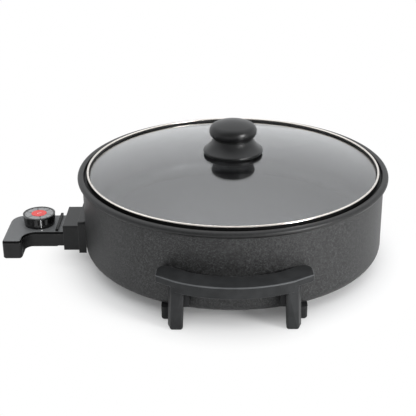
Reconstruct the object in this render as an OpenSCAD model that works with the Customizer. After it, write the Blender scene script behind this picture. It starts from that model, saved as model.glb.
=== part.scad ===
/* [Pan] */
// Outside diameter across the rolled rim
rim_d = 381; // [350:1:420]
// Height from the skirt's lower edge to the top of the rim
pan_h = 101.5; // [96:0.5:120]
// Clear height between the table and the skirt
base_gap = 16.5; // [14:0.5:20]
// Thickness of the bowl's wall
wall_t = 4.5; // [4:0.1:6]
// Height of the rolled rim
rim_h = 7; // [6:0.5:9]
// How far the rim stands out past the wall
rim_out = 5.5; // [4:0.1:7]
// Depth of the bowl below the lid's seat
bowl_depth = 71.5; // [66:0.5:76]
// Thickness of the cooking floor
floor_t = 5; // [4:0.5:7]
// Radius between the cooking floor and the wall
bowl_r = 15; // [10:1:22]
// Radius of the skirt's lower outside corner
skirt_r = 13; // [10:0.5:15]
// Thickness of the skirt under the cooking floor
skirt_t = 9; // [8:0.5:11]
// Depth of the step that holds the lid
seat_depth = 4.5; // [3.5:0.1:6]
// Width of the step that holds the lid
seat_w = 2; // [1.5:0.1:3]
// Rounding of the rim's inner edge
rim_in_r = 2; // [1:0.1:3]
// Radius between the skirt and the underside of the floor
recess_r = 4; // [2:0.5:6]

/* [Heater] */
// Radius of the heating ring, to the middle of its tube
ring_r = 115; // [100:1:128]
// Diameter of the heating tube
tube_d = 8; // [6:0.5:9]
// Radius of the bends where the ring turns out to its ends
bend_r = 15; // [12:1:20]
// Distance between the two terminal pins
pin_pitch = 28; // [26:0.5:30]
// Diameter of a terminal pin
pin_d = 4.8; // [4:0.1:5.2]
// Diameter of the ceramic bush round a pin
bush_d = 11; // [9:0.5:12]
// Width of the cast ridge that holds the heating tube
ridge_w = 16; // [13:0.5:20]

/* [Handles] */
// Tip to tip length of a handle bar
bar_span = 173; // [164:1:184]
// Width of a bar, seen from above
bar_w = 27; // [22:0.5:32]
// Height of a bar's section
bar_h = 14.5; // [12:0.5:18]
// Height of a bar's top above the table
bar_top = 70; // [64:1:80]
// Room for the fingers between the bar's middle and the wall
finger_gap = 10.5; // [9:0.5:16]
// Length of that room along the wall
gap_span = 143; // [136:1:148]
// Rounding along the edges of a bar
bar_edge = 2; // [1.5:0.1:3]
// Radius of a bar's front corners
tip_r = 4; // [3:0.5:6]
// Radius of a bar's rear corners, next to the wall
heel_r = 9.5; // [7:0.5:11]
// Length of each end, past the bar's even arc
end_len = 22; // [18:1:26]
// How much thinner an end is than the rest of the bar
end_rise = 5.5; // [3:0.1:6.5]
// Distance between the middles of the two legs, under the bar
leg_pitch = 127; // [122:1:132]
// Width of a leg at its back
leg_w = 17; // [14:0.5:20]
// How much a leg narrows to its front, on its outer side
leg_flare = 2.5; // [1:0.1:5]
// Depth of a leg, front to back
leg_depth = 19; // [16:0.5:22]
// How far a leg leans in from the bar down to the table
leg_lean = 15.5; // [12:0.5:20]
// How far a leg spreads out from the bar down to the table
leg_splay = 2.5; // [0:0.1:4]
// Rounding of a leg's edges
leg_edge = 3; // [2.6:0.1:4]
// How far the web behind a leg stands out past the leg's inner side
web_step = 5; // [2:0.5:7]
// Distance between the middles of the two inner feet
foot_pitch = 142; // [138:1:146]
// How far the inner feet stand in from the front of the wall
foot_inset = 34.5; // [31:0.5:38]
// Width of an inner foot
foot_w = 23; // [20:0.5:24]
// Depth of an inner foot, front to back
foot_depth = 26; // [22:0.5:28]
// How far an inner foot reaches forward of its screw's middle
foot_lead = 4; // [1:0.5:5]
// Rounding of an inner foot's corners
foot_r = 4; // [3:0.5:6]
// Diameter of a handle screw
handle_screw_d = 4; // [3:0.5:5]
// Height of a handle screw's head
handle_head_h = 3; // [2:0.5:4]
// Depth of that head's seat below the top of its post
handle_seat = 8; // [6:0.5:12]

/* [Socket] */
// Width of the flange on the wall
flange_w = 66; // [64:0.5:76]
// Thickness of the flange at its middle
flange_t = 6.5; // [5:0.1:8]
// Height of the flange above the probe's axis
flange_up = 26; // [23:0.5:30]
// Depth of the flange below the probe's axis
flange_down = 16.5; // [14.5:0.5:18]
// How far the shroud stands out from the flange
shroud_len = 19; // [17:0.5:24]
// Thickness of the shroud's sides
shroud_wall = 4.2; // [3:0.1:4.6]
// Thickness of the shroud's back
shroud_back = 3; // [2.5:0.1:4]
// Height of the shroud above the probe's axis
shroud_up = 20; // [19.6:0.1:21.5]
// Rounding of the flange's corners
flange_corner = 3; // [1:0.5:6]
// Rounding of the shroud's corners
shroud_corner = 2; // [1:0.1:3]
// Distance from the flange to the seat of a socket screw's head
screw_seat = 6; // [4:0.5:8]
// Diameter of a socket screw
socket_screw_d = 3.8; // [3:0.1:4]

/* [Plug] */
// Length of the plug outside the shroud
plug_len = 71.5; // [67:0.5:80]
// Width of the plug's body
plug_w = 52; // [51:0.5:56]
// Height of the plug's body
plug_h = 20.4; // [19.5:0.1:21.5]
// Thickness of the plug's walls
plug_wall = 2.2; // [1.8:0.1:2.6]
// Thickness of the plug's cover
cover_t = 3.2; // [2.8:0.1:3.8]
// Rounding of the cover's top edge
cover_edge = 2.5; // [1.5:0.1:2.7]
// Bevel of the plug's lower edge
plug_bevel = 1.6; // [0.8:0.1:1.9]
// Width of the grip that turns off to the front
grip_w = 23; // [20:0.5:26]
// Reach of the grip from the probe's axis
grip_reach = 52; // [48:0.5:60]
// How much lower the grip hangs than the body
grip_drop = 3.5; // [2:0.1:5]
// Radius of the plug's outer corner
corner_r = 18; // [12:0.5:20]
// Radius between the body and the grip
inner_r = 15; // [10:0.5:18]
// Height of the step under the plug, next to the shroud
nose_step = 1.6; // [1:0.1:2]
// Length of that step outside the shroud
nose_out = 9; // [7:0.5:10]
// Height of the finger rib on the cover
rib_h = 3.5; // [2:0.1:5]
// Thickness of the finger rib
rib_t = 3; // [2:0.1:4]
// Distance of the finger rib from the shroud
rib_x = 8.5; // [6:0.5:10]
// Diameter of the heat probe
probe_d = 6; // [5:0.1:7]
// Reach of the probe past the plug's nose
probe_len = 83; // [76:1:88]
// Diameter of the cord's inlet
inlet_d = 8; // [6:0.5:9]

/* [Dial] */
// Distance of the dial's axis from the shroud
dial_x = 33.5; // [32:0.5:36]
// Diameter of the dial at its top
dial_d = 40; // [36:0.5:42]
// Diameter of the dial at its foot
dial_foot_d = 37.6; // [34:0.1:40]
// Height of the dial
dial_h = 13.8; // [11:0.1:17]
// Number of finger flutes round the dial
flutes = 12; // [8:1:18]
// Depth of a finger flute
flute_depth = 1.6; // [0.9:0.1:2]
// Height of the plain band below the flutes
dial_band = 4; // [2:0.5:6]
// Width of the black rim round the dial's face
dial_rim = 2.4; // [1.8:0.1:3]
// Diameter of the red cap in the middle
cap_d = 18.8; // [15:0.1:21]
// Diameter of the dial's spindle
spindle_d = 6; // [5:0.1:6.5]

/* [Lid] */
// Thickness of the glass
glass_t = 4; // [3.5:0.1:5]
// Rise of the glass dome from its edge to its middle
dome_rise = 21.8; // [16:0.1:28]
// Height of the glass's edge above the lid's seat
glass_lift = 3.8; // [3.2:0.1:5]
// Gap between the lid's ring and the bowl
lid_gap = 1.3; // [0.8:0.1:2]
// Thickness of the steel ring's sheet
sheet_t = 0.8; // [0.6:0.05:1]
// Depth of the ring's skirt below the lid's seat
skirt_drop = 6.5; // [5:0.5:10]
// Diameter of the bead rolled along the ring's top
bead_d = 2.6; // [2.2:0.1:3.2]
// Reach of the ring's lip under the glass
under_lip = 3; // [2:0.1:5]
// Thickness of the rubber edging round the glass
edge_t = 0.7; // [0.5:0.05:1]
// How far the edging shows inside the bead
edge_show = 0.9; // [0.5:0.1:1.5]
// Diameter of the knob's base
base_d = 72.6; // [66:0.2:80]
// Height of the knob's base
base_h = 17; // [15:0.5:20]
// Height of the base's outer edge
base_edge = 3; // [2:0.1:4]
// Diameter of the knob's neck
neck_d = 49; // [44:0.5:52]
// Radius of the base's hollow slope
slope_r = 28; // [20:0.5:40]
// Diameter of the knob's grip
knob_d = 58; // [54:0.5:64]
// Height of the knob's grip
knob_h = 22.3; // [22:0.1:28]
// Radius of the grip's shoulder
shoulder_r = 9; // [7:0.5:10]
// Radius of the grip's crown
crown_r = 60; // [50:1:80]
// Diameter of the knob's screw
knob_screw_d = 4; // [3:0.5:5]
// Diameter of the gasket between the knob and the glass
gasket_d = 28; // [24:0.5:30]
// Diameter of the seal under the glass
seal_d = 20; // [18:0.5:24]
// Diameter of the washer under that seal
washer_d = 18; // [14:0.5:18]

/* [Clearances] */
// Slack between a piece and the fixed piece it sits in
fit = 0.1; // [0.05:0.01:0.15]
// Slack round a shaft that turns or a contact that slides
run = 0.06; // [0.03:0.01:0.09]
// Slack round pieces that are drawn apart by hand
slip = 0.3; // [0.2:0.05:0.4]
// Gap between the wall and what is shaped to it
wall_gap = 0.2; // [0.1:0.05:0.4]

/* [Hidden] */
$fn = 96;
hull_fn = 24;
wall_fn = 360;
eps = 0.5;

// Pan, in cylinder coordinates about its own axis
rim_r = rim_d / 2;
wall_r = rim_r - rim_out;
bowl_in = wall_r - wall_t;
skirt_in = wall_r - skirt_t;
rim_top = base_gap + pan_h;
seat_z = rim_top - seat_depth;
seat_r = bowl_in + seat_w;
floor_z = seat_z - bowl_depth;
under_z = floor_z - floor_t;

// Heater and the probe's axis, just under the cooking floor
tube_r = tube_d / 2;
pin_r = pin_d / 2;
pin_y = pin_pitch / 2;
axis_z = under_z - tube_r - fit;
bend_y = pin_y + bend_r;
lead_len = 6;
lead_in = 1;
ridge_stop = 3;
nib_step = 0.6;
lead_r = tube_r - fit / 2;
bend_reach = norm([ring_r + bend_r, lead_len]);
lead_angle = asin(bend_y / bend_reach) + atan(lead_len / (ring_r + bend_r));
bend_x = (ring_r + bend_r) * cos(lead_angle) + lead_len * sin(lead_angle);
tube_end = skirt_in - 8;
boss_w = 14;

// Socket: its faces, measured from the pan's axis
flange_x = wall_r + flange_t;
face_x = flange_x + shroud_len;
cavity_back = flange_x + shroud_back;
nose_gap = 1;
bush_in = skirt_in - 3;
bush_out = cavity_back + nose_gap / 2;
pin_out = face_x - 3;
probe_end = cavity_back + nose_gap - probe_len;
pocket_end = probe_end - 2;
screw_y = plug_w / 2 - 6;
socket_screw_r = socket_screw_d / 2;
socket_head_r = socket_screw_r + 1.4;
socket_head_h = 2.5;
head_seat = flange_x + screw_seat;
socket_thread = wall_t - 1.2;

// Plug, in its own frame: x runs out from the shroud's face, z = 0 on the probe's axis
plug_top = plug_h / 2;
plug_low = -plug_h / 2;
nose_low = plug_low + nose_step;
nose_tip = cavity_back + nose_gap - face_x;
tub_top = plug_top - cover_t;
tub_floor = plug_low + plug_wall;
half_w = plug_w / 2;
nose_end = nose_out + 5;
grip_x = plug_len - grip_w;
grip_low = plug_low - grip_drop;
grip_r = 3.5;
probe_r = probe_d / 2;
sleeve_r = pin_r + 1.2;
inlet_y = grip_reach - inlet_d / 2 - plug_wall - 3;
post_r = 2.6;
post_y = (probe_r + pin_y - sleeve_r) / 2;
post_foot = -2;
cover_screw_r = 1.4;
cover_head_r = 2.6;
cover_head_h = 1.8;
cover_head_z = nose_low + 2.2;
cover_spots = [
  [4, post_y], [4, -post_y],
  [plug_len - corner_r + 5, corner_r - half_w - 5],
  [plug_len - grip_w / 2, half_w + 1]
];

// Shroud, closed round the plug's nose
shroud_w = plug_w + 2 * (slip + shroud_wall);
shroud_low = nose_low - slip - shroud_wall;
socket_screw_z = (plug_top + slip + shroud_up) / 2;
pan_x = (face_x + plug_len - rim_r) / 2;

// Thermostat, on the floor of the plug
bracket_t = 1.2;
bracket_len = 24;
bracket_w = 18;
bridge_z = 3;
spindle_r = spindle_d / 2;
bush_wall = 2;
blade_t = 0.5;
blade_w = 6;
spindle_low = -1.8;
upper_blade = spindle_low - 0.2 - blade_t;
lower_blade = upper_blade - 3;

// Dial, standing on its spindle above the cover
dial_gap = 0.5;
dial_z = plug_top + dial_gap;
dial_top = dial_z + dial_h;
dial_wall = 2.6;
face_r = dial_d / 2 - dial_rim;
face_t = 0.6;
face_sink = 0.4;
flute_r = 6;
flute_stop = 2.2;
hub_r = spindle_r + 2.2;

// Handle, in front of the wall: the bar is an arc about a point inside the pan
seat_half = gap_span / 2;
bar_front = wall_r + finger_gap;
bar_c = (pow(bar_front, 2) - pow(wall_r, 2)) / (2 * (bar_front - sqrt(pow(wall_r, 2) - pow(seat_half, 2))));
bar_in = bar_front - bar_c;
bar_out = bar_in + bar_w;
bar_low = bar_top - bar_h;
bar_sweep = asin((bar_span / 2 - end_len) / bar_out);
leg_set = 0.8;
tip_set = 0.8;
heel_in = 1.2;
leg_x = leg_pitch / 2;
leg_y = bar_face(leg_x, leg_set);
leg_toe = leg_y - leg_lean;
toe_x = leg_x + leg_splay;
toe_r = 2.4;
toe_trim = 5;
knee_drop = 3;
leg_in_x = leg_x - leg_w / 2 + leg_edge;
leg_out_x = leg_x + leg_w / 2 - leg_edge;
leg_front_x = leg_out_x - leg_flare;
leg_back = leg_y - leg_depth + leg_edge;
toe_front = leg_toe - leg_edge;
toe_back = leg_back - leg_lean + toe_trim;
// Corners of a leg: place along the bar, distance from the pan's axis under the bar and at the toe
leg_corners = [
  [leg_in_x, bar_face(leg_in_x, leg_set + leg_edge), toe_front],
  [leg_front_x, bar_face(leg_front_x, leg_set + leg_edge), toe_front],
  [leg_out_x, leg_back, toe_back],
  [leg_in_x, leg_back, toe_back]
];
web_low = base_gap + skirt_r;
web_reach = 40;
arm_w = 10;
arm_foot_w = 14;
arm_y = (toe_front + toe_back) / 2;
foot_x = foot_pitch / 2;
foot_y = wall_r - foot_inset;
arm_low = 4;
arm_top = base_gap - 3 * wall_gap;
post_top = under_z - 7;
foot_post_r = handle_screw_d / 2 + 5;
handle_screw_r = handle_screw_d / 2;
handle_head_r = handle_screw_r + 2;
handle_head_z = post_top - handle_seat;

// Lid, from its seat up
ring_out = bowl_in - lid_gap;
ring_in = ring_out - sheet_t;
ring_low = seat_z - skirt_drop;
glass_r = ring_in - edge_t - 2 * fit;
glass_edge_z = seat_z + glass_lift;
dome_r = (pow(glass_r, 2) + pow(dome_rise, 2)) / (2 * dome_rise);
apex_z = glass_edge_z + dome_rise;
dome_c = apex_z - dome_r;
edge_in = ring_out - bead_d - edge_show;
edge_z = dome_c + sqrt(pow(dome_r, 2) - pow(edge_in, 2)) + fit;
bead_z = edge_z + edge_t + fit + bead_d / 2;
under_lip_z = dome_c + sqrt(pow(dome_r - glass_t, 2) - pow(glass_r, 2)) - fit - sheet_t;
gasket_t = 0.8;
hollow_h = 2;
hollow_in = gasket_d / 2 + 2;
hollow_out = base_d / 2 - 6;
base_z = apex_z + fit + gasket_t;
grip_z = base_z + base_h;
knob_top = grip_z + knob_h;
slope_top = [neck_d / 2, grip_z];
slope_foot = [base_d / 2, base_z + base_edge];
slope_run = slope_foot - slope_top;
slope_in = sqrt(pow(slope_r / norm(slope_run), 2) - 0.25);
slope_c = (slope_top + slope_foot) / 2 + slope_in * [-slope_run.y, slope_run.x];
shoulder_x = knob_d / 2 - shoulder_r;
crown_z = knob_top - crown_r;
shoulder_z = crown_z + sqrt(pow(crown_r - shoulder_r, 2) - pow(shoulder_x, 2));
blend_x = crown_r * shoulder_x / (crown_r - shoulder_r);
insert_r = knob_screw_d / 2 + 1.6;
insert_h = 14;
insert_room = 2;
knob_head_r = knob_screw_d / 2 + 2.5;
knob_head_h = 2.8;
seal_t = 1;
washer_t = 0.9;
hole_r = knob_screw_d / 2 + 2;
washer_z = apex_z - glass_t - fit - seal_t - washer_t;

// Everything is drawn about the pan's axis and set down with the whole part centred
module place() translate([pan_x, 0, 0]) children();

module at_plug() translate([-face_x, 0, axis_z]) rotate([0, 0, 180]) children();

// A cylinder that runs out along -X from a distance to a larger one
module outward(r, from, to) {
  translate([-from, 0, 0]) rotate([0, -90, 0]) cylinder(r = r, h = to - from);
}

// A rectangle with round corners, from a corner
module round_rect(w, h, r) {
  translate([r, 0]) square([w - 2 * r, h]);
  translate([0, r]) square([w, h - 2 * r]);
  for (x = [r, w - r], y = [r, h - r]) translate([x, y]) circle(r = r);
}

// The same, about its middle
module round_slab(w, d, r, h) {
  linear_extrude(h) translate([-w / 2, -d / 2]) round_rect(w, d, r);
}

// A screw that points up, with its head's top at z = 0
module screw(r, length, head_r, head_h) {
  translate([0, 0, -head_h]) cylinder(r = head_r, h = head_h);
  cylinder(r = r, h = length);
}

module pan_section() {
  difference() {
    union() {
      translate([0, base_gap + skirt_r]) square([wall_r, pan_h - skirt_r - rim_h / 2]);
      translate([0, base_gap]) square([wall_r - skirt_r, skirt_r + eps]);
      translate([wall_r - skirt_r, base_gap + skirt_r]) circle(r = skirt_r);
      translate([0, rim_top - rim_h]) square([rim_r - rim_h / 2, rim_h]);
      translate([rim_r - rim_h / 2, rim_top - rim_h / 2]) circle(r = rim_h / 2);
    }
    translate([0, floor_z + bowl_r]) square([bowl_in, pan_h]);
    translate([-bowl_r, floor_z]) square([bowl_in, pan_h]);
    translate([bowl_in - bowl_r, floor_z + bowl_r]) circle(r = bowl_r);
    translate([0, seat_z]) square([seat_r, pan_h]);
    difference() {
      translate([seat_r - eps, rim_top - rim_in_r]) square(rim_in_r + eps);
      translate([seat_r + rim_in_r, rim_top - rim_in_r]) circle(r = rim_in_r);
    }
    translate([0, -eps]) square([skirt_in, under_z - recess_r + eps]);
    translate([0, -eps]) square([skirt_in - recess_r, under_z + eps]);
    translate([skirt_in - recess_r, under_z - recess_r]) circle(r = recess_r);
    translate([-rim_d, -eps]) square([rim_d, 2 * rim_top]);
  }
}

module heater_ridge() {
  sweep = 180 - lead_angle - ridge_stop;
  groove = tube_d + 2 * fit;
  rotate([0, 0, -sweep]) rotate_extrude(angle = 2 * sweep) difference() {
    translate([ring_r - ridge_w / 2, axis_z - tube_r / 2])
      square([ridge_w, under_z - axis_z + tube_r / 2 + eps]);
    translate([ring_r - groove / 2, axis_z - tube_d]) square([groove, under_z - axis_z + tube_d]);
  }
}

module foot_bosses() {
  for (x = [-foot_x, foot_x], y = [-foot_y, foot_y])
    translate([x, y, post_top]) cylinder(r = foot_post_r - 1, h = under_z - post_top + eps);
}

module pan_body() color([0.27, 0.27, 0.28]) difference() {
  union() {
    rotate_extrude() pan_section();
    heater_ridge();
    foot_bosses();
    // Pocket for the heat probe, cast along the floor's underside
    translate([-skirt_in - eps, -boss_w / 2, axis_z - boss_w / 2])
      cube([skirt_in - pocket_end + boss_w / 2, boss_w, under_z - axis_z + boss_w / 2 + eps]);
  }
  translate([0, 0, axis_z]) outward(probe_r + slip, pocket_end, wall_r + eps);
  for (side = [-1, 1]) {
    translate([0, side * pin_y, axis_z]) outward(bush_d / 2 + fit / 2, skirt_in - skirt_t, wall_r + eps);
    translate([0, side * screw_y, axis_z + socket_screw_z])
      outward(socket_screw_r + fit / 2, wall_r - socket_thread, wall_r + eps);
  }
  for (x = [-foot_x, foot_x], y = [-foot_y, foot_y])
    translate([x, y, post_top - eps]) cylinder(r = handle_screw_r + fit / 2, h = under_z - post_top + 2);
}

// The ring, its two bends and the straight leads, which run a little way into the curved lengths
module heating_element() color([0.45, 0.44, 0.43]) translate([0, 0, axis_z]) {
  sweep = 180 - lead_angle;
  rotate([0, 0, -sweep]) rotate_extrude(angle = 2 * sweep) translate([ring_r, 0]) circle(r = tube_r);
  for (side = [0, 1]) mirror([0, side, 0]) {
    translate([-ring_r * cos(lead_angle), ring_r * sin(lead_angle), 0]) rotate([0, 90, -90 - lead_angle])
      translate([0, 0, -lead_in]) cylinder(r = lead_r, h = lead_len + 2 * lead_in);
    translate([-bend_x, bend_y, 0]) rotate([0, 0, -90])
      rotate_extrude(angle = 90 - lead_angle) translate([bend_r, 0]) circle(r = tube_r);
    translate([0, pin_y, 0]) outward(lead_r, bend_x - lead_in, tube_end);
  }
}

module terminal_pins() color([0.78, 0.74, 0.62])
  for (side = [-1, 1]) translate([0, side * pin_y, axis_z]) {
    outward(pin_r, tube_end, pin_out - pin_r);
    outward(pin_r - nib_step, pin_out - pin_r - eps, pin_out);
  }

module terminal_bushes() color([0.92, 0.9, 0.85])
  for (side = [-1, 1]) translate([0, side * pin_y, axis_z]) difference() {
    outward(bush_d / 2, bush_in, bush_out);
    outward(pin_r + fit / 2, bush_in - 1, bush_out + 1);
  }

// Holes that the flange and the shroud share
module socket_holes() {
  translate([0, 0, axis_z]) outward(probe_r + slip, skirt_in, face_x);
  for (side = [-1, 1]) {
    translate([0, side * pin_y, axis_z]) outward(bush_d / 2 + fit / 2, skirt_in, face_x);
    translate([0, side * screw_y, axis_z + socket_screw_z])
      outward(socket_screw_r + fit, skirt_in, face_x + 1);
  }
}

module socket_flange() color([0.11, 0.11, 0.12]) difference() {
  translate([-flange_x, -flange_w / 2, axis_z - flange_down]) rotate([90, 0, 90])
    linear_extrude(flange_w / 2) round_rect(flange_w, flange_up + flange_down, flange_corner);
  cylinder(r = wall_r + wall_gap, h = 2 * rim_top, $fn = wall_fn);
  socket_holes();
}

module socket_shroud() color([0.12, 0.12, 0.13]) difference() {
  translate([-face_x, -shroud_w / 2, axis_z + shroud_low]) rotate([90, 0, 90])
    linear_extrude(shroud_len) round_rect(shroud_w, shroud_up - shroud_low, shroud_corner);
  translate([-face_x - eps, -half_w - slip, axis_z + nose_low - slip])
    cube([face_x - cavity_back + eps, plug_w + 2 * slip, plug_top - nose_low + 2 * slip]);
  socket_holes();
  for (side = [-1, 1]) translate([0, side * screw_y, axis_z + socket_screw_z])
    outward(socket_head_r + fit, head_seat, face_x + eps);
}

module socket_screws() color([0.7, 0.7, 0.72])
  for (side = [-1, 1])
    translate([-head_seat, side * screw_y, axis_z + socket_screw_z]) rotate([0, 90, 0])
      screw(socket_screw_r, head_seat - wall_r + socket_thread - 1, socket_head_r, socket_head_h);

// Section of a bar, in radius and height, with its underside raised
module bar_section(inset, rise) {
  translate([bar_in + inset, bar_low + rise + inset])
    round_rect(bar_w - 2 * inset, bar_h - rise - 2 * inset, bar_edge);
}

// Distance of the bar's front, less an inset, from the pan's axis at a place along the bar
function bar_face(x, inset) = bar_c + sqrt(pow(bar_out - inset, 2) - pow(x, 2));

// A short post with rounded ends, from the raised underside to the bar's top
module bar_post(r) for (step = rounding(bar_edge)) {
  drop = bar_edge - step.x;
  translate([0, 0, bar_low + end_rise + drop])
    cylinder(r = r - step.y, h = bar_h - end_rise - 2 * drop, $fn = hull_fn);
}

// End of the bar, thinner than the rest, with a small corner in front and a large one at the wall
module bar_end() {
  tip_x = bar_span / 2 - tip_r;
  heel_x = bar_span / 2 - heel_r - tip_set;
  tip_y = bar_face(tip_x, tip_r) - tip_set;
  heel_y = sqrt(pow(wall_r + wall_gap + heel_r, 2) - pow(heel_x, 2)) - heel_in;
  hull() {
    translate([0, -bar_c, 0]) rotate([0, 0, bar_sweep - 91])
      rotate_extrude(angle = 0.5, $fn = hull_fn) bar_section(0.1, end_rise);
    translate([tip_x, -tip_y, 0]) bar_post(tip_r);
    translate([heel_x, -heel_y, 0]) bar_post(heel_r);
  }
}

// One leg: its front follows the bar and leans in to a rounded toe, its outer side opens to the back
module leg() hull() for (corner = leg_corners) {
  $fn = hull_fn;
  translate([corner.x, -corner.y, bar_low - knee_drop])
    cylinder(r = leg_edge, h = knee_drop + end_rise + 1);
  for (step = rounding(toe_r)) translate([corner.x + leg_splay, -corner.z, toe_r - step.x])
    cylinder(r = leg_edge - step.y, h = 1);
}

// The inner foot, under the edge of the pan
module foot() hull() {
  $fn = hull_fn;
  for (step = rounding(toe_r)) translate([foot_x, -foot_y - foot_lead, toe_r - step.x])
    round_slab(foot_w - 2 * step.y, foot_depth - 2 * step.y, foot_r - step.y, arm_top - toe_r);
}

// Web from a leg back to the wall, and the arm that runs under the pan to the inner foot
module leg_web() {
  web_in = leg_in_x - leg_edge - web_step;
  translate([web_in, -leg_back, web_low])
    cube([leg_out_x - web_in, web_reach, bar_low + end_rise + 1 - web_low]);
  translate([0, 0, arm_low]) linear_extrude(arm_top - arm_low) polygon([
    [toe_x - arm_w / 2, -arm_y], [toe_x + arm_w / 2, -arm_y],
    [foot_x + arm_foot_w / 2, -foot_y], [foot_x - arm_foot_w / 2, -foot_y]
  ]);
}

module handle() {
  difference() {
    union() {
      translate([0, -bar_c, 0]) rotate([0, 0, -90 - bar_sweep])
        rotate_extrude(angle = 2 * bar_sweep) bar_section(0, 0);
      for (side = [0, 1]) mirror([side, 0, 0]) {
        bar_end();
        leg();
        foot();
        leg_web();
      }
    }
    translate([0, 0, base_gap]) cylinder(r = wall_r + wall_gap, h = 2 * rim_top, $fn = wall_fn);
  }
  // Posts that stand up under the floor, against the pan's bosses
  for (x = [-foot_x, foot_x]) translate([x, -foot_y, arm_low])
    cylinder(r = foot_post_r, h = post_top - arm_low);
}

module foot_holes() for (x = [-foot_x, foot_x]) translate([x, -foot_y, -eps]) {
  cylinder(r = handle_screw_r + fit, h = post_top + 1);
  cylinder(r = handle_head_r + fit, h = handle_head_z + eps);
}

module front_handle() color([0.2, 0.2, 0.21]) difference() {
  handle();
  foot_holes();
}

module rear_handle() mirror([0, 1, 0]) front_handle();

module handle_screws() color([0.62, 0.62, 0.64])
  for (x = [-foot_x, foot_x], y = [-foot_y, foot_y]) translate([x, y, handle_head_z])
    screw(handle_screw_r, under_z - handle_head_z, handle_head_r, handle_head_h);

module lid_glass() color([0.72, 0.76, 0.78, 0.5]) rotate_extrude() difference() {
  intersection() {
    translate([0, dome_c]) circle(r = dome_r, $fn = 720);
    translate([0, dome_c]) square([glass_r, dome_r + 1]);
  }
  translate([0, dome_c]) circle(r = dome_r - glass_t, $fn = 720);
  translate([-eps, seat_z]) square([hole_r + eps, 2 * dome_rise]);
}

// Rubber edging, turned over the edge of the glass
module edge_gasket() color([0.08, 0.08, 0.08]) rotate_extrude() {
  gasket_out = ring_in - fit;
  gasket_low = under_lip_z + sheet_t + fit;
  translate([gasket_out - edge_t, gasket_low]) square([edge_t, edge_z + edge_t - gasket_low]);
  translate([edge_in, edge_z]) square([gasket_out - edge_in, edge_t]);
}

// Folded ring: a skirt with a rolled bead, a lip under the glass and a flange that rests on the seat
module lid_ring() color([0.78, 0.77, 0.75]) rotate_extrude() {
  lip_in = glass_r - under_lip;
  translate([ring_in, ring_low]) square([sheet_t, bead_z - ring_low]);
  translate([ring_out - bead_d / 2, bead_z]) circle(r = bead_d / 2);
  translate([lip_in, under_lip_z]) square([ring_out - lip_in, sheet_t]);
  translate([ring_in, seat_z + fit]) square([seat_r - fit - slip - ring_in, sheet_t]);
}

module washer(z, t, r_in, r_out) translate([0, 0, z]) difference() {
  cylinder(r = r_out, h = t);
  translate([0, 0, -1]) cylinder(r = r_in, h = t + 2);
}

module lid_seal() color([0.16, 0.16, 0.16])
  washer(washer_z + washer_t, seal_t, knob_screw_d / 2 + fit, seal_d / 2);

module lid_washer() color([0.75, 0.75, 0.76])
  washer(washer_z, washer_t, knob_screw_d / 2 + fit, washer_d / 2);

module knob_gasket() color([0.16, 0.16, 0.16])
  washer(apex_z + fit, gasket_t, hole_r - gasket_t, gasket_d / 2);

module knob_base() color([0.1, 0.1, 0.1]) rotate_extrude() difference() {
  translate([knob_screw_d / 2 + fit, base_z]) square([base_d / 2 - knob_screw_d / 2 - fit, base_h]);
  translate(slope_c) circle(r = slope_r, $fn = wall_fn);
  translate([hollow_in, base_z - eps]) square([hollow_out - hollow_in, hollow_h + eps]);
}

module knob_grip() color([0.1, 0.1, 0.1]) rotate_extrude() difference() {
  union() {
    intersection() {
      translate([0, crown_z]) circle(r = crown_r);
      translate([0, shoulder_z]) square([blend_x, knob_h]);
    }
    translate([shoulder_x, shoulder_z]) circle(r = shoulder_r);
    translate([0, shoulder_z - shoulder_r]) square([shoulder_x, shoulder_r + eps]);
    translate([0, grip_z]) square([neck_d / 2 - 0.5, shoulder_z - grip_z - shoulder_r / 2]);
  }
  translate([-eps, grip_z - eps]) square([insert_r + fit / 2 + eps, insert_h + insert_room + eps]);
}

module knob_insert() color([0.8, 0.64, 0.3])
  washer(grip_z, insert_h, knob_screw_d / 2 + fit / 2, insert_r);

module knob_screw() color([0.75, 0.75, 0.76]) translate([0, 0, washer_z])
  screw(knob_screw_d / 2, grip_z + insert_h - insert_room - washer_z, knob_head_r, knob_head_h);

// The plug's outline seen from above, drawn in by an inset
module plug_plan(inset, from) {
  flat = plug_len - corner_r;
  translate([from, inset - half_w]) square([flat - from, plug_w - 2 * inset]);
  translate([flat - eps, corner_r - half_w])
    square([corner_r - inset + eps, plug_w - corner_r - inset]);
  translate([flat, corner_r - half_w]) circle(r = corner_r - inset);
  translate([grip_x + inset, 0])
    square([grip_w - 2 * inset, grip_reach - grip_r]);
  translate([grip_x + grip_r, 0]) square([grip_w - 2 * grip_r, grip_reach - inset]);
  for (x = [grip_x + grip_r, plug_len - grip_r])
    translate([x, grip_reach - grip_r]) circle(r = grip_r - inset);
  difference() {
    translate([grip_x - inner_r, half_w - inset - eps]) square(inner_r + inset + eps);
    translate([grip_x - inner_r, half_w + inner_r]) circle(r = inner_r + inset);
  }
}

// Lower part of the plug, with bevelled edges round its body and its grip
module plug_hulls() {
  $fn = hull_fn;
  hull() {
    translate([0, 0, plug_low + plug_bevel])
      linear_extrude(tub_top - plug_low - plug_bevel) body_plan(0, nose_out);
    translate([0, 0, plug_low]) linear_extrude(1) body_plan(plug_bevel, nose_out);
  }
  hull() {
    translate([0, 0, grip_low + plug_bevel]) linear_extrude(tub_top - grip_low - plug_bevel) grip_plan(0);
    translate([0, 0, grip_low]) linear_extrude(1) grip_plan(plug_bevel);
  }
}

module body_plan(inset, from) {
  translate([plug_len - corner_r, corner_r - half_w]) circle(r = corner_r - inset);
  translate([from, inset - half_w]) square([plug_len - corner_r - from, plug_w - 2 * inset]);
  translate([from, 0]) square([plug_len - from - inset, half_w - inset]);
}

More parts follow.
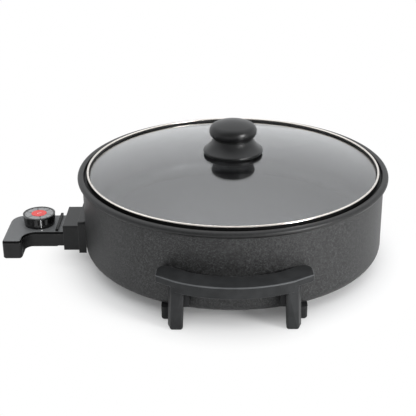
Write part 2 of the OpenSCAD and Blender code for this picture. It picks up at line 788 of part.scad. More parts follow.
module grip_plan(inset) {
  translate([grip_x + inset, inset - half_w / 3])
    round_rect(grip_w - 2 * inset, grip_reach + half_w / 3 - 2 * inset, grip_r - inset);
}

module plug_body() color([0.16, 0.16, 0.17]) at_plug() difference() {
  union() {
    plug_hulls();
    translate([0, 0, plug_low + plug_bevel]) linear_extrude(tub_top - plug_low - plug_bevel) difference() {
      translate([grip_x - inner_r, half_w - eps]) square([inner_r + eps, inner_r + eps]);
      translate([grip_x - inner_r, half_w + inner_r]) circle(r = inner_r);
    }
    translate([nose_tip, -half_w, nose_low]) cube([nose_out + eps - nose_tip, plug_w, tub_top - nose_low]);
  }
  difference() {
    translate([0, 0, tub_floor]) linear_extrude(plug_h) plug_plan(plug_wall, nose_end);
    for (spot = cover_spots) translate([spot.x, spot.y, tub_floor - eps])
      cylinder(r = post_r + 0.9, h = post_foot - fit - tub_floor + eps);
  }
  for (spot = cover_spots) translate([spot.x, spot.y, grip_low - eps]) {
    cylinder(r = cover_screw_r + fit, h = plug_h);
    cylinder(r = cover_head_r + fit, h = cover_head_z - grip_low + eps);
    translate([0, 0, post_foot - fit - grip_low + eps]) cylinder(r = post_r + fit, h = plug_h);
  }
  for (y = [-pin_y, pin_y]) translate([nose_tip - eps, y, 0]) rotate([0, 90, 0])
    cylinder(r = sleeve_r + fit / 2, h = nose_end - nose_tip + 2);
  translate([nose_tip - eps, 0, 0]) rotate([0, 90, 0])
    cylinder(r = probe_r + fit / 2, h = nose_end - nose_tip + 2);
  translate([plug_len - grip_w / 2, inlet_y, grip_low - eps]) cylinder(r = inlet_d / 2, h = plug_h / 2);
}

// Heights and insets of the steps that round off an edge
function rounding(r) = [for (a = [0:30:90]) [r * sin(a), r * (1 - cos(a))]];

module cover_plate() {
  straight = cover_t - cover_edge;
  $fn = hull_fn;
  hull() for (step = rounding(cover_edge))
    linear_extrude(straight + step.x) body_plan(step.y, nose_tip + step.y);
  hull() for (step = rounding(cover_edge))
    linear_extrude(straight + step.x) grip_plan(step.y);
  // Inside corner, with the same rounding along its edge
  intersection() {
    translate([grip_x - inner_r, half_w - cover_edge - eps, 0])
      cube([inner_r + cover_edge + eps, inner_r + cover_edge + eps, cover_t]);
    translate([grip_x - inner_r, half_w + inner_r, 0]) rotate_extrude($fn = 96) difference() {
      translate([inner_r, 0]) square([inner_r, cover_t]);
      difference() {
        translate([inner_r - eps, straight]) square([cover_edge + eps, cover_edge + eps]);
        translate([inner_r + cover_edge, straight]) circle(r = cover_edge);
      }
    }
  }
}

module plug_cover() color([0.2, 0.2, 0.21]) at_plug() difference() {
  union() {
    translate([0, 0, tub_top]) cover_plate();
    for (spot = cover_spots) translate([spot.x, spot.y, post_foot])
      cylinder(r = post_r, h = tub_top - post_foot + eps);
    translate([rib_x + rib_t / 2, 1 - half_w, plug_top - 1]) rotate([90, 0, -90]) mirror([1, 0, 0])
      linear_extrude(rib_t) round_rect(plug_w - 2, rib_h + 1, 0.9);
  }
  for (spot = cover_spots) translate([spot.x, spot.y, post_foot - eps])
    cylinder(r = cover_screw_r + fit / 2, h = 6 + eps);
  translate([dial_x, 0, tub_top - 1]) cylinder(r = spindle_r + 1, h = cover_t + 2);
}

module cover_screws() color([0.62, 0.62, 0.64]) at_plug()
  for (spot = cover_spots) translate([spot.x, spot.y, cover_head_z])
    screw(cover_screw_r, post_foot + 5.5 - cover_head_z, cover_head_r, cover_head_h);

module probe_rod() color([0.72, 0.72, 0.72]) at_plug() {
  tip = nose_tip - probe_len + probe_r;
  translate([tip, 0, 0]) rotate([0, 90, 0]) cylinder(r = probe_r, h = nose_end + 3 - tip);
  translate([tip, 0, 0]) sphere(r = probe_r);
}

module contact_sleeves() color([0.82, 0.7, 0.42]) at_plug()
  for (y = [-pin_y, pin_y]) translate([nose_tip + eps, y, 0]) {
    rotate([0, 90, 0]) difference() {
      cylinder(r = sleeve_r, h = nose_end - nose_tip);
      translate([0, 0, -1]) cylinder(r = pin_r + run, h = nose_end - nose_tip - 2);
    }
    translate([nose_end - nose_tip - 1, -2, -0.4]) cube([6, 4, 0.8]);
  }

module thermostat_bracket() color([0.66, 0.67, 0.68]) at_plug() translate([dial_x, 0, 0]) difference() {
  union() {
    translate([-bracket_len / 2, -bracket_w / 2, bridge_z]) cube([bracket_len, bracket_w, bracket_t]);
    for (x = [-bracket_len / 2, bracket_len / 2 - bracket_t])
      translate([x, -bracket_w / 2, tub_floor]) cube([bracket_t, bracket_w, bridge_z - tub_floor + eps]);
  }
  cylinder(r = spindle_r + bush_wall + fit / 2, h = plug_h);
}

module spindle_bush() color([0.8, 0.64, 0.3]) at_plug() translate([dial_x, 0, 0]) difference() {
  union() {
    translate([0, 0, bridge_z - 2]) cylinder(r = spindle_r + bush_wall, h = bracket_t + 3);
    translate([0, 0, bridge_z + bracket_t]) cylinder(r = spindle_r + bush_wall + 1.2, h = 1.2);
  }
  translate([0, 0, -plug_h]) cylinder(r = spindle_r + run, h = 2 * plug_h);
}

// Ceramic plates that hold the two contact blades one above the other
module contact_stack() color([0.92, 0.9, 0.85]) at_plug() {
  x = dial_x + bracket_len / 2 - bracket_t - 6;
  levels = [
    tub_floor, lower_blade, lower_blade + blade_t,
    upper_blade, upper_blade + blade_t, upper_blade + 2
  ];
  for (i = [0:2]) translate([x, -blade_w / 2 - 1, levels[2 * i]])
    cube([5, blade_w + 2, levels[2 * i + 1] - levels[2 * i]]);
}

module contact_blades() color([0.83, 0.6, 0.4]) at_plug() {
  x = dial_x - bracket_len / 2 + bracket_t + 2;
  length = bracket_len - 2 * bracket_t - 3;
  for (z = [lower_blade, upper_blade]) translate([x, -blade_w / 2, z]) cube([length, blade_w, blade_t]);
  translate([x + 2.5, 0, lower_blade + blade_t - 0.1]) cylinder(r = 1.5, h = 0.8);
  translate([x + 2.5, 0, upper_blade - 0.7]) cylinder(r = 1.5, h = 0.8);
}

module dial_knob() color([0.06, 0.06, 0.06]) at_plug() translate([dial_x, 0, dial_z]) difference() {
  cylinder(r1 = dial_foot_d / 2, r2 = dial_d / 2, h = dial_h);
  translate([0, 0, dial_h - face_t - face_sink]) cylinder(r = face_r + fit, h = dial_h);
  difference() {
    translate([0, 0, -eps]) cylinder(r = dial_foot_d / 2 - dial_wall, h = dial_h - 3 + eps);
    translate([0, 0, -1]) cylinder(r = hub_r, h = dial_h);
  }
  translate([0, 0, -1]) cylinder(r = spindle_r + fit / 2, h = dial_h - 2);
  for (i = [1:flutes]) rotate([0, 0, 360 * i / flutes])
    translate([dial_d / 2 + flute_r - flute_depth, 0, dial_band])
      cylinder(r = flute_r, h = dial_h - flute_stop - dial_band);
}

module dial_face() color([0.62, 0.63, 0.64]) at_plug()
  translate([dial_x, 0, 0]) washer(dial_top - face_t - face_sink, face_t, cap_d / 2 + fit, face_r);

module dial_cap() color([0.78, 0.1, 0.1]) at_plug() translate([dial_x, 0, dial_top - face_t - face_sink])
  cylinder(r = cap_d / 2, h = face_t + face_sink - fit);

module dial_spindle() color([0.7, 0.7, 0.72]) at_plug() translate([dial_x, 0, spindle_low])
  cylinder(r = spindle_r, h = dial_z + dial_h - 3.5 - spindle_low);

place() pan_body();
place() heating_element();
place() terminal_pins();
place() terminal_bushes();
place() socket_flange();
place() socket_shroud();
place() socket_screws();
place() front_handle();
place() rear_handle();
place() handle_screws();
place() lid_glass();
place() edge_gasket();
place() lid_ring();
place() lid_seal();
place() lid_washer();
place() knob_gasket();
place() knob_base();
place() knob_grip();
place() knob_insert();
place() knob_screw();
place() plug_body();
place() plug_cover();
place() cover_screws();
place() probe_rod();
place() contact_sleeves();
place() thermostat_bracket();
place() spindle_bush();
place() contact_stack();
place() contact_blades();
place() dial_knob();
place() dial_face();
place() dial_cap();
place() dial_spindle();
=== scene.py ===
import math
import bmesh
import bpy
from mathutils import Matrix, Vector


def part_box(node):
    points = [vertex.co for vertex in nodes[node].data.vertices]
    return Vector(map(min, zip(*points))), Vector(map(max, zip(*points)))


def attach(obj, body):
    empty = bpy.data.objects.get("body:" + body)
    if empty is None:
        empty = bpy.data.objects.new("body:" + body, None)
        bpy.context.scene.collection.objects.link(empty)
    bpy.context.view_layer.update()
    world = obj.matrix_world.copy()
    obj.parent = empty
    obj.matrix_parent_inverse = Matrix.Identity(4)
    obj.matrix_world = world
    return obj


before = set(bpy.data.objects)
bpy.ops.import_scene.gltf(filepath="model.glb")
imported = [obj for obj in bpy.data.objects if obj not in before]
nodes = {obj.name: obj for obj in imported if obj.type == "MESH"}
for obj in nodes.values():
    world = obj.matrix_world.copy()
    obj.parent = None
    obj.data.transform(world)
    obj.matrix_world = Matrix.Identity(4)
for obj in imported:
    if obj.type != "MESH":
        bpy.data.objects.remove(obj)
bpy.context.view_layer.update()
print("frame loaded:", len(nodes), "nodes")


class Wire:  # a shader socket that takes part in sums
    def __init__(self, graph, socket):
        self.graph = graph
        self.socket = socket

    def sum(self, operation, first, second):
        return self.graph.node("Math", {"operation": operation}, {0: first, 1: second})

    def __add__(self, other):
        return self.sum("ADD", self, other)

    def __radd__(self, other):
        return self.sum("ADD", other, self)

    def __sub__(self, other):
        return self.sum("SUBTRACT", self, other)

    def __rsub__(self, other):
        return self.sum("SUBTRACT", other, self)

    def __mul__(self, other):
        return self.sum("MULTIPLY", self, other)

    def __rmul__(self, other):
        return self.sum("MULTIPLY", other, self)


class Graph:  # the nodes of one material or of the world
    def __init__(self, owner):
        owner.use_nodes = True
        self.owner = owner
        self.tree = owner.node_tree
        self.main = self.tree.nodes.get("Principled BSDF")  # the world has none

    def node(self, kind, settings=None, sockets=None, out=0):
        made = self.tree.nodes.new("ShaderNode" + kind)
        for name, value in (settings or {}).items():
            setattr(made, name, value)
        for key, value in (sockets or {}).items():
            self.feed(made.inputs[key], value)
        return Wire(self, made.outputs[out])

    def feed(self, socket, value):
        if isinstance(value, Wire):
            self.tree.links.new(value.socket, socket)
        else:
            socket.default_value = value

    def mix(self, share, first, second):  # sockets 6 and 7 and output 2 are the ones for colours
        return self.node("Mix", {"data_type": "RGBA"}, {0: share, 6: first, 7: second}, 2)

    def fade(self, value, low, high):  # 0 below low, 1 above high
        settings = {"interpolation_type": "SMOOTHSTEP"}
        return self.node("MapRange", settings, {"Value": value, "From Min": low, "From Max": high})

    def band(self, value, rise, fall):  # 1 between two fades
        return self.fade(value, *rise) * (1 - self.fade(value, *fall))

    def place(self):
        return self.node("TexCoord", out="Object")

    def part(self, vector, axis):
        return self.node("SeparateXYZ", sockets={0: vector}, out=axis)

    def height(self):
        return self.part(self.place(), "Z")

    def radius(self, x):  # distance from an upright axis through x on the X axis
        flat = self.node("VectorMath", {"operation": "MULTIPLY_ADD"},
                         {0: self.place(), 1: (1, 1, 0), 2: (-x, 0, 0)})
        return self.node("VectorMath", {"operation": "LENGTH"}, {0: flat}, "Value")

    def noise(self, size, detail=2, stretch=None):  # size in metres
        spot = self.place()
        if stretch:
            spot = self.node("VectorMath", {"operation": "MULTIPLY"}, {0: spot, 1: stretch})
        return self.node("TexNoise", sockets={"Vector": spot, "Scale": 1 / size, "Detail": detail})

    def edges(self, reach, lean):  # 1 along square edges, by how far a rounded normal leans from the true one
        rounded = self.node("Bevel", {"samples": 6}, {"Radius": reach})
        true = self.node("NewGeometry", out="Normal")
        match = self.node("VectorMath", {"operation": "DOT_PRODUCT"}, {0: rounded, 1: true}, "Value")
        return self.fade(1 - match, *lean)

    def shoulders(self, rise, fall):  # 1 where a face turns from upright to level
        return self.band(self.part(self.node("NewGeometry", out="Normal"), "Z"), rise, fall)

    def shade(self, **links):  # varying values for the main shader, by the first word of their socket
        names = {"base": "Base Color", "roughness": "Roughness", "normal": "Normal"}
        for name, value in links.items():
            self.feed(self.main.inputs[names[name]], value)

    def bump(self, height, depth):
        return self.node("Bump", sockets={"Height": height, "Distance": depth})

    def overlay(self, share, shader):  # lays another shader over the main one
        body = Wire(self, self.main.outputs[0])
        both = self.node("MixShader", sockets={0: share, 1: body, 2: shader})
        self.feed(self.tree.nodes["Material Output"].inputs["Surface"], both)


def newFinish(name, even):  # even values go straight on the shader's own sockets
    graph = Graph(bpy.data.materials.new(name))
    for socket, value in even.items():
        graph.main.inputs[socket].default_value = value
    return graph


def grey(level, warmth=0.0):
    return (level * (1 + warmth), level, level * (1 - warmth), 1)


# Non-stick coating of the pan: nearly black, with fine grey flecks, smoother round the rim and in the bowl
panCoat = {
    "dark": grey(0.005, -0.01), "rimDark": grey(0.004, -0.01), "fleck": grey(0.050, -0.01),
    "rimDepth": 0.0070, "rimFade": 0.0008, "wall": 0.0100, "wallFade": 0.0015,
    "fleckSize": 0.0008, "mottleSize": 0.0030, "mottleShare": 0.4, "fleckRange": (0.62, 0.90),
    "rimClear": 0.8, "bowlClear": 0.5,  # share of the flecks that is lost there
    "gloss": 0.40, "roughness": 0.47, "rimRoughness": 0.44, "bowlRoughness": 0.36, "mottleShine": 0.12,
    "grain": 0.00006, "mottleGrain": 0.1,
    "rimSmooth": 0.75, "bowlSmooth": 0.95,  # share of the grain that is lost there
}


def coatFinish():
    s = panCoat
    graph = newFinish("speckled_coating", {"Specular IOR Level": s["gloss"]})
    low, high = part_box("pan_body")
    rimFoot = high.z - s["rimDepth"]
    rim = graph.fade(graph.height(), rimFoot - s["rimFade"], rimFoot)
    bowlRadius = (high.y - low.y) / 2 - s["wall"]
    bowl = 1 - graph.fade(graph.radius((low.x + high.x) / 2), bowlRadius, bowlRadius + s["wallFade"])
    fine = graph.noise(s["fleckSize"])
    broad = graph.noise(s["mottleSize"], detail=3)
    flecks = graph.fade(fine + s["mottleShare"] * broad, *s["fleckRange"])
    flecks = flecks * (1 - s["rimClear"] * rim) * (1 - s["bowlClear"] * bowl)
    ground = graph.mix(rim, s["dark"], s["rimDark"])
    rough = s["roughness"] + s["mottleShine"] * (broad - 0.5) - (s["roughness"] - s["rimRoughness"]) * rim
    rough = rough + bowl * (s["bowlRoughness"] - rough)
    relief = fine * (1 - s["rimSmooth"] * rim) + s["mottleGrain"] * broad
    relief = relief * (1 - s["bowlSmooth"] * bowl)
    graph.shade(base=graph.mix(flecks, ground, s["fleck"]), roughness=rough,
                normal=graph.bump(relief, s["grain"]))
    return graph


# Moulded plastics: a fine grain, a little cloudiness and worn shine, and a painted highlight on the handle
# bows' rounded top and along the square edges of the socket and plug
mouldings = {
    "handle": {"colour": grey(0.019, -0.03), "worn": grey(0.027, -0.03), "grainSize": 0.0006,
               "grain": 0.00004, "roughness": 0.36, "cloud": 0.016, "gloss": 0.11,
               "paintedHighlight": grey(0.10, -0.03), "highlightDepth": 0.0030},
    "socket": {"colour": grey(0.005, -0.02), "worn": grey(0.008, -0.02), "grainSize": 0.0005,
               "grain": 0.00003, "roughness": 0.32, "cloud": 0.012, "gloss": 0.30,
               "paintedHighlight": grey(0.085), "highlightReach": 0.0012},
    "plug": {"colour": grey(0.006, -0.02), "worn": grey(0.010, -0.02), "grainSize": 0.0005,
             "grain": 0.00004, "roughness": 0.33, "cloud": 0.010, "gloss": 0.30,
             "paintedHighlight": grey(0.085), "highlightReach": 0.0012},
    "knob": {"colour": grey(0.003, -0.05), "worn": grey(0.005, -0.05), "grainSize": 0.0007,
             "grain": 0.00002, "roughness": 0.33, "cloud": 0.012, "gloss": 0.45},
    "dial": {"colour": grey(0.006), "worn": grey(0.009), "grainSize": 0.0012,
             "grain": 0.00001, "roughness": 0.16, "cloud": 0.008, "gloss": 0.50},
}
# What they share: where the worn tone starts and ends, and the least share of the painted highlight on bows
# and on square edges
wearAndHighlight = {"grainShare": 0.3, "range": (0.45, 0.85), "cloudShine": 0.14, "grainShine": 0.08,
        "bowRise": (0.2, 0.4), "bowFall": (0.85, 0.95), "bowHighlight": 0.4,
        "edgeLean": (0.03, 0.25), "edgeHighlight": 0.5}


def mouldedFinish(kind):
    s = mouldings[kind]
    graph = newFinish(kind + "_moulding", {"Specular IOR Level": s["gloss"]})
    cloud = graph.noise(s["cloud"], detail=4)
    grain = graph.noise(s["grainSize"])
    worn = graph.fade(cloud + wearAndHighlight["grainShare"] * grain, *wearAndHighlight["range"])
    colour = graph.mix(worn, s["colour"], s["worn"])
    # painted highlight: the bow's rounded top is coloured light where its face turns from upright to level
    if "highlightDepth" in s:  # round the top of a bow
        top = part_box("front_handle")[1].z
        bow = graph.fade(graph.height(), top - s["highlightDepth"], top - s["highlightDepth"] / 2)
        bow = bow * graph.shoulders(wearAndHighlight["bowRise"], wearAndHighlight["bowFall"])
        patchy = wearAndHighlight["bowHighlight"] + (1 - wearAndHighlight["bowHighlight"]) * cloud
        colour = graph.mix(bow * patchy, colour, s["paintedHighlight"])
    # painted highlight: a light colour along every square edge of the socket and plug
    elif "highlightReach" in s:  # along every square edge
        patchy = wearAndHighlight["edgeHighlight"] + (1 - wearAndHighlight["edgeHighlight"]) * cloud
        colour = graph.mix(graph.edges(s["highlightReach"], wearAndHighlight["edgeLean"]) * patchy, colour, s["paintedHighlight"])
    rough = s["roughness"] + wearAndHighlight["cloudShine"] * (cloud - 0.5) + wearAndHighlight["grainShine"] * (grain - 0.5)
    graph.shade(base=colour, roughness=rough, normal=graph.bump(grain, s["grain"]))
    return graph


# Cover of the plug: black plastic with a grain, whose top face is painted grey with lighter specks as a
# painted reflection, beside black edges and finger rib
plugCover = {"face": grey(0.125, -0.02), "speck": grey(0.20, -0.02), "edge": grey(0.002), "gloss": 0.12,
             "grainSize": 0.0005, "speckRange": (0.50, 0.75), "grain": 0.00004, "roughness": 0.36,
             "edgeRoughness": 0.24, "grainShine": 0.1, "dialGap": 0.0005, "band": 0.0006}
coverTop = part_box("dial_knob")[0].z - plugCover["dialGap"]  # the face lies just under the dial


def coverFinish():
    s = plugCover
    graph = newFinish("cover_moulding", {"Specular IOR Level": s["gloss"]})
    outer, inner = s["band"], s["band"] / 3
    face = graph.band(graph.height(), (coverTop - outer, coverTop - inner),
                      (coverTop + inner, coverTop + outer))
    grain = graph.noise(s["grainSize"])
    speckledSheen = graph.mix(graph.fade(grain, *s["speckRange"]), s["face"], s["speck"])
    rough = s["edgeRoughness"] + (s["roughness"] - s["edgeRoughness"]) * face
    # painted reflection: the top face is grey and speckled, while the edges and rib keep the plastic's black
    graph.shade(base=graph.mix(face, s["edge"], speckledSheen),
                roughness=rough + s["grainShine"] * (grain - 0.5),
                normal=graph.bump(grain * face, s["grain"]))
    return graph


# Toughened glass of the lid, with a faint film in broad smears
lidGlass = {"tint": (0.945, 0.95, 0.965, 1), "ior": 1.7, "film": 0.0035,
            "smear": 0.05, "smearRange": (0.5, 0.8)}


def glassFinish():
    s = lidGlass
    graph = newFinish("lid_glass", {"Transmission Weight": 1.0, "IOR": s["ior"], "Base Color": s["tint"]})
    smear = graph.fade(graph.noise(s["smear"], detail=3), *s["smearRange"])
    graph.shade(roughness=s["film"] * smear)
    clear = graph.node("BsdfTransparent", sockets={"Color": s["tint"]})
    graph.overlay(graph.node("LightPath", out="Is Shadow Ray"), clear)  # lamps reach the bowl
    return graph


# Metals: polished bead, plated steel, brass and the oxidised heating tube
metals = {
    "polished_bead": {"colour": (0.82, 0.78, 0.73, 1), "other": (0.68, 0.62, 0.56, 1), "roughness": 0.16,
                      "size": 0.004, "stretch": (1, 1, 9), "grain": 0.00001},
    "bright_steel": {"colour": (0.70, 0.70, 0.69, 1), "other": (0.50, 0.50, 0.50, 1), "roughness": 0.26,
                     "size": 0.002, "grain": 0.00001},
    "heater_steel": {"colour": (0.30, 0.28, 0.26, 1), "other": (0.13, 0.115, 0.10, 1), "roughness": 0.48,
                     "size": 0.006, "grain": 0.00003},
    "brass": {"colour": (0.72, 0.53, 0.25, 1), "other": (0.46, 0.32, 0.15, 1), "roughness": 0.32,
              "size": 0.003, "grain": 0.00001},
}
metalPatches = {"even": {"Metallic": 1.0}, "detail": 4, "range": (0.42, 0.72), "shine": 0.22, "middle": 0.45}

# Ring of the lid: steel sheet under a bright rolled bead, painted near-black as painted shade of the gap
# between lid and rim
sheets = {
    "painted_shade_sheet": {"colour": grey(0.003), "other": grey(0.007), "roughness": 0.50,
                        "size": 0.004, "stretch": (1, 1, 9), "grain": 0.00001},
}
sheetPatches = {"even": {"Specular IOR Level": 0.15}, "detail": 4, "range": (0.45, 0.75), "shine": 0.2,
                "middle": 0.5}

# Small parts: rubber, ceramic, the dial's silver print, its red cap and the printed marks
smallParts = {
    "rubber": {"colour": grey(0.018), "other": grey(0.032), "roughness": 0.75,
               "size": 0.0015, "grain": 0.00005},
    "ceramic": {"colour": (0.78, 0.75, 0.68, 1), "other": (0.66, 0.62, 0.55, 1), "roughness": 0.62,
                "size": 0.002, "grain": 0.00004},
    "silver_print": {"colour": grey(0.24, -0.01), "other": grey(0.32, -0.01), "roughness": 0.38,
                     "size": 0.0007, "grain": 0.00001},
    "red_cap": {"colour": (0.78, 0.040, 0.034, 1), "other": (0.66, 0.028, 0.024, 1), "roughness": 0.24,
                "size": 0.004, "grain": 0.00001},
    "white_print": {"colour": grey(0.80), "other": grey(0.70), "roughness": 0.5,
                    "size": 0.001, "grain": 0.00001},
    "black_print": {"colour": grey(0.012), "other": grey(0.022), "roughness": 0.5,
                    "size": 0.001, "grain": 0.00001},
}
smallPatches = {"even": {}, "detail": 3, "range": (0.4, 0.7), "shine": 0.12, "middle": 0.5}


def patchyFinish(name, s, patches):  # two colours in patches, with shine and relief to match
    graph = newFinish(name, patches["even"])
    patch = graph.noise(s["size"], patches["detail"], s.get("stretch"))
    graph.shade(base=graph.mix(graph.fade(patch, *patches["range"]), s["colour"], s["other"]),
                roughness=s["roughness"] + patches["shine"] * (patch - patches["middle"]),
                normal=graph.bump(patch, s["grain"]))
    return graph


finishes = {"coat": coatFinish(), "cover": coverFinish(), "glass": glassFinish()}
finishes.update({kind: mouldedFinish(kind) for kind in mouldings})
for kinds, patches in ((metals, metalPatches), (sheets, sheetPatches), (smallParts, smallPatches)):
    finishes.update({kind: patchyFinish(kind, kinds[kind], patches) for kind in kinds})
print("finishes made:", len(finishes))

dressing = {
    "coat": ["pan_body"],
    "glass": ["lid_glass"],
    "handle": ["front_handle", "rear_handle"],
    "socket": ["socket_flange", "socket_shroud"],
    "plug": ["plug_body"],
    "cover": ["plug_cover"],
    "knob": ["knob_base", "knob_grip"],
    "dial": ["dial_knob"],
    "silver_print": ["dial_face"],
    "red_cap": ["dial_cap"],
    # painted shade: the steel ring of the lid is coloured near-black
    "painted_shade_sheet": ["lid_ring"],
    "heater_steel": ["heating_element", "thermostat_bracket"],
    "brass": ["knob_insert", "contact_sleeves", "spindle_bush", "contact_blades"],
    "ceramic": ["terminal_bushes", "contact_stack"],
    "rubber": ["edge_gasket", "lid_seal", "knob_gasket"],
    "bright_steel": ["terminal_pins", "socket_screws", "handle_screws", "lid_washer", "knob_screw",
                     "cover_screws", "probe_rod", "dial_spindle"],
}
for kind, names in dressing.items():
    for name in names:
        mesh = nodes[name].data
        mesh.materials.clear()
        mesh.materials.append(finishes[kind].owner)
print("nodes dressed:", sum(map(len, dressing.values())))

# Rounded edges of the mouldings that are square in the solids: widths in metres, angle in degrees
softEdges = {
    "widths": {"socket_flange": 0.0009, "socket_shroud": 0.0009, "knob_base": 0.0005, "dial_knob": 0.0004},
    "weld": 0.00001, "segments": 3, "angle": 40,
}
for name, width in softEdges["widths"].items():
    weld = nodes[name].modifiers.new("weld", "WELD")
    weld.merge_threshold = softEdges["weld"]
    edges = nodes[name].modifiers.new("edges", "BEVEL")
    edges.width, edges.segments = width, softEdges["segments"]
    edges.limit_method, edges.angle_limit = "ANGLE", math.radians(softEdges["angle"])
    edges.harden_normals = True
print("edges softened:", len(softEdges["widths"]))


def addMesh(name, bm, finish):
    mesh = bpy.data.meshes.new(name)
    bm.to_mesh(mesh)
    bm.free()
    mesh.materials.append(finish.owner)
    made = bpy.data.objects.new(name, mesh)
    bpy.context.scene.collection.objects.link(made)
    return made


def addPiece(name, bm, body, kind):
    piece = addMesh(name, bm, finishes[kind])
    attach(piece, body)


def addBlock(bm, matrix, size, soft=0.3):  # a box whose edges are softened by a share of its thinnest side
    block = bmesh.ops.create_cube(bm, matrix=matrix @ Matrix.Diagonal((*size, 1)))
    edges = list({edge for vert in block["verts"] for edge in vert.link_edges})
    bmesh.ops.bevel(bm, geom=edges, offset=min(size) * soft, segments=2, affect="EDGES", profile=0.5)


# Rolled bead of the lid: a fine tube over the ring's top
ringBead = {"inset": 0.0042, "radius": 0.0013, "proud": 0.00006, "around": 288, "sides": 20}


def addBead():
    s = ringBead
    low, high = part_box("lid_ring")
    middle = (low + high) / 2
    tube = s["radius"] + s["proud"]
    section = Vector((high.x - s["inset"], middle.y, high.z - s["radius"]))
    bm = bmesh.new()
    turns = [2 * math.pi * side / s["sides"] for side in range(s["sides"])]
    points = [bm.verts.new(section + tube * Vector((math.cos(turn), 0, math.sin(turn)))) for turn in turns]
    lines = [bm.edges.new((points[side - 1], points[side])) for side in range(s["sides"])]
    bmesh.ops.spin(bm, geom=points + lines, cent=middle, axis=(0, 0, 1), angle=2 * math.pi,
                   steps=s["around"], use_merge=True)
    bmesh.ops.recalc_face_normals(bm, faces=bm.faces)
    for face in bm.faces:
        face.smooth = True
    addPiece("lid_bead", bm, "lid", "polished_bead")


addBead()
print("bead rolled")

# Scale of the dial: plain numbers and ticks on the silver print
dialScale = {"steps": 6, "sweep": 300, "pointer": 15, "tick": (0.0009, 0.0024, 0.00012),
             "shortTick": (0.0006, 0.0014, 0.00012), "rim": 0.0009, "numeral": 0.0052, "numeralIn": 0.0058}
faceLow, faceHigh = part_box("dial_face")
dialMiddle = Vector(((faceLow.x + faceHigh.x) / 2, (faceLow.y + faceHigh.y) / 2, faceHigh.z))
faceRadius = (faceHigh.x - faceLow.x) / 2


def aroundDial(angle, radius, lift=0.0):  # angle in degrees from the front, towards +X
    turn = math.radians(angle)
    return dialMiddle + Vector((math.sin(turn) * radius, -math.cos(turn) * radius, lift))


def dialTurn(angle):  # local y towards the dial's middle
    return Matrix.Rotation(math.radians(angle), 4, "Z")


def addScale():
    s = dialScale
    halfDepth = s["tick"][2] / 2
    bm = bmesh.new()
    for step in range(2 * s["steps"] - 1):  # a short tick between each two long ones
        angle = s["pointer"] + step * s["sweep"] / (2 * s["steps"] - 2)
        size = s["shortTick"] if step % 2 else s["tick"]
        spot = aroundDial(angle, faceRadius - s["rim"] - size[1] / 2, size[2] / 2)
        addBlock(bm, Matrix.Translation(spot) @ dialTurn(angle), size)
    for step in range(s["steps"]):
        angle = s["pointer"] + step * s["sweep"] / (s["steps"] - 1)
        curve = bpy.data.curves.new("numeral", "FONT")
        curve.body = str(step)
        curve.size = s["numeral"]
        curve.align_x, curve.align_y = "CENTER", "CENTER"
        curve.extrude = halfDepth
        letter = bpy.data.objects.new("numeral", curve)
        bpy.context.scene.collection.objects.link(letter)
        bpy.context.view_layer.update()
        flat = bpy.data.meshes.new_from_object(letter.evaluated_get(bpy.context.evaluated_depsgraph_get()))
        spot = aroundDial(angle, faceRadius - s["numeralIn"], halfDepth)
        flat.transform(Matrix.Translation(spot) @ dialTurn(angle))
        bm.from_mesh(flat)
        bpy.data.objects.remove(letter)
        bpy.data.meshes.remove(flat)
    addPiece("dial_marks", bm, "dial", "black_print")


addScale()

# White pointer on the dial's side, a thin white bar on its cap and the index dot on the cover
pointers = {"width": 0.0009, "proud": 0.00015, "root": 0.0006, "taper": 0.0012, "topGap": 0.0015,
            "footGap": 0.0012, "capMark": (0.0055, 0.0008, 0.00012), "capTurn": 25, "dotRadius": 0.0011,
            "dotTaper": 0.9, "dotDepth": 0.0002, "dotLift": 0.00005, "dotSides": 32, "dotReach": 0.0222}


def addPointer():
    s = pointers
    low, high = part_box("dial_knob")
    topRadius = (high.x - low.x) / 2
    footRadius = topRadius - s["taper"]
    tall = high.z - low.z
    bm = bmesh.new()
    for share in (s["footGap"] / tall, 1 - s["topGap"] / tall):
        radius = footRadius + (topRadius - footRadius) * share
        for out in (-s["root"], s["proud"]):
            for side in (-0.5, 0.5):
                spot = aroundDial(dialScale["pointer"], radius + out, low.z + tall * share - dialMiddle.z)
                bm.verts.new(spot + dialTurn(dialScale["pointer"]) @ Vector((side * s["width"], 0, 0)))
    bmesh.ops.convex_hull(bm, input=bm.verts)
    addPiece("dial_pointer", bm, "dial", "white_print")


# a thin white bar laid on top of the red cap
def addCapMark():
    s = pointers
    bm = bmesh.new()
    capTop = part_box("dial_cap")[1].z
    spot = Matrix.Translation(Vector((dialMiddle.x, dialMiddle.y, capTop + s["capMark"][2] / 2)))
    addBlock(bm, spot @ dialTurn(s["capTurn"]), s["capMark"])
    addPiece("dial_cap_mark", bm, "dial", "white_print")


def addDot():
    s = pointers
    bm = bmesh.new()
    spot = aroundDial(dialScale["pointer"], s["dotReach"], coverTop - dialMiddle.z + s["dotLift"])
    bmesh.ops.create_cone(bm, cap_ends=True, segments=s["dotSides"], radius1=s["dotRadius"],
                          radius2=s["dotRadius"] * s["dotTaper"], depth=s["dotDepth"],
                          matrix=Matrix.Translation(spot))
    addPiece("index_dot", bm, "plug", "white_print")


addPointer()
addCapMark()
addDot()
print("dial marked")

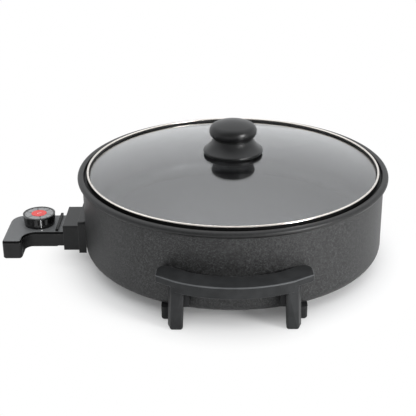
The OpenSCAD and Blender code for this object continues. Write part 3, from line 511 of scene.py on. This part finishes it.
# Studio: camera at the photograph's angle, soft lamps, white world and floor
camera = {"spot": (0.0345, -1.1488, 0.5756), "pitch": 24.04, "yaw": -0.56, "lens": 86.54, "sensor": 36.0,
          "shift": -25 / 416}  # pixels of the image's width
studio = {
    "sky": grey(0.985, -0.015), "ambient": 0.78, "frontLevel": 0.40, "backFade": (-0.7, 0.1),
    "topLevel": 0.5, "topFade": (0.45, 0.85),
    "floorColour": grey(0.82), "floorRoughness": 0.9, "floorSize": 9.0, "floorDrop": 0.0005,
    "floorGlow": 0.10, "glowReach": (0.155, 0.25),
}
lamps = {
    "overhead": {"spot": (0.1, 0.10, 2.0), "aim": (0.0, 0.0, 0.1), "size": (0.6, 0.5), "watts": 9,
                 "mirrored": False},
    "right": {"spot": (0.82, -0.78, 0.35), "aim": (0.18, -0.18, 0.06), "size": (0.3, 0.4), "watts": 9,
              "mirrored": True},
    "fill": {"spot": (0.10, -1.10, 1.20), "aim": (0.0, -0.3, 0.0), "size": (1.0, 0.6), "watts": 7,
             "mirrored": False},
}


def addCamera():
    data = bpy.data.cameras.new("camera")
    data.lens, data.sensor_width = camera["lens"], camera["sensor"]
    data.shift_x = camera["shift"]
    view = bpy.data.objects.new("camera", data)
    view.location = camera["spot"]
    view.rotation_euler = (math.radians(90 - camera["pitch"]), 0, math.radians(camera["yaw"]))
    bpy.context.scene.collection.objects.link(view)
    bpy.context.scene.camera = view


def addLamp(name):
    s = lamps[name]
    data = bpy.data.lights.new(name, "AREA")
    data.shape = "RECTANGLE"
    data.size, data.size_y = s["size"]
    data.energy = s["watts"]
    lamp = bpy.data.objects.new(name, data)
    lamp.location = s["spot"]
    lamp.rotation_euler = (Vector(s["aim"]) - Vector(s["spot"])).to_track_quat("-Z", "Y").to_euler()
    lamp.visible_camera = False
    lamp.visible_glossy = lamp.visible_transmission = s["mirrored"]
    bpy.context.scene.collection.objects.link(lamp)


def addWorld():  # white as seen; reflections are dimmer from the camera's side and brighter from above
    graph = Graph(bpy.data.worlds.new("studio"))
    sky = graph.tree.nodes["Background"]
    sky.inputs["Color"].default_value = studio["sky"]
    way = graph.node("TexCoord", out="Generated")
    back = graph.fade(graph.part(way, "Y"), *studio["backFade"])
    top = graph.fade(graph.part(way, "Z"), *studio["topFade"])
    glossy = studio["frontLevel"] + back * (1 - studio["frontLevel"] + studio["topLevel"] * top)
    seen, mirrored, through = [graph.node("LightPath", out=ray)
                               for ray in ("Is Camera Ray", "Is Glossy Ray", "Is Transmission Ray")]
    level = studio["ambient"] + (1 - studio["ambient"]) * graph.node("Clamp", sockets={0: seen + through})
    graph.feed(sky.inputs["Strength"], level + mirrored * (glossy - level))
    bpy.context.scene.world = graph.owner


def addFloor():  # glows white to the camera, but little near the pan, where its shadow falls
    bm = bmesh.new()
    bmesh.ops.create_grid(bm, x_segments=2, y_segments=2, size=studio["floorSize"] / 2)
    graph = newFinish("floor_paper", {"Base Color": studio["floorColour"], "Specular IOR Level": 0.0,
                                      "Roughness": studio["floorRoughness"]})
    glow = graph.node("Emission", sockets={"Color": grey(1.0), "Strength": 1.0})
    low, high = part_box("pan_body")
    far = graph.fade(graph.radius((low.x + high.x) / 2), *studio["glowReach"])
    share = studio["floorGlow"] + (1 - studio["floorGlow"]) * far
    graph.overlay(share * graph.node("LightPath", out="Is Camera Ray"), glow)
    floor = addMesh("floor", bm, graph)
    floor.location.z = -studio["floorDrop"]


addCamera()
for name in lamps:
    addLamp(name)
addWorld()
addFloor()
bpy.context.scene.view_settings.view_transform = "Standard"
print("studio set")
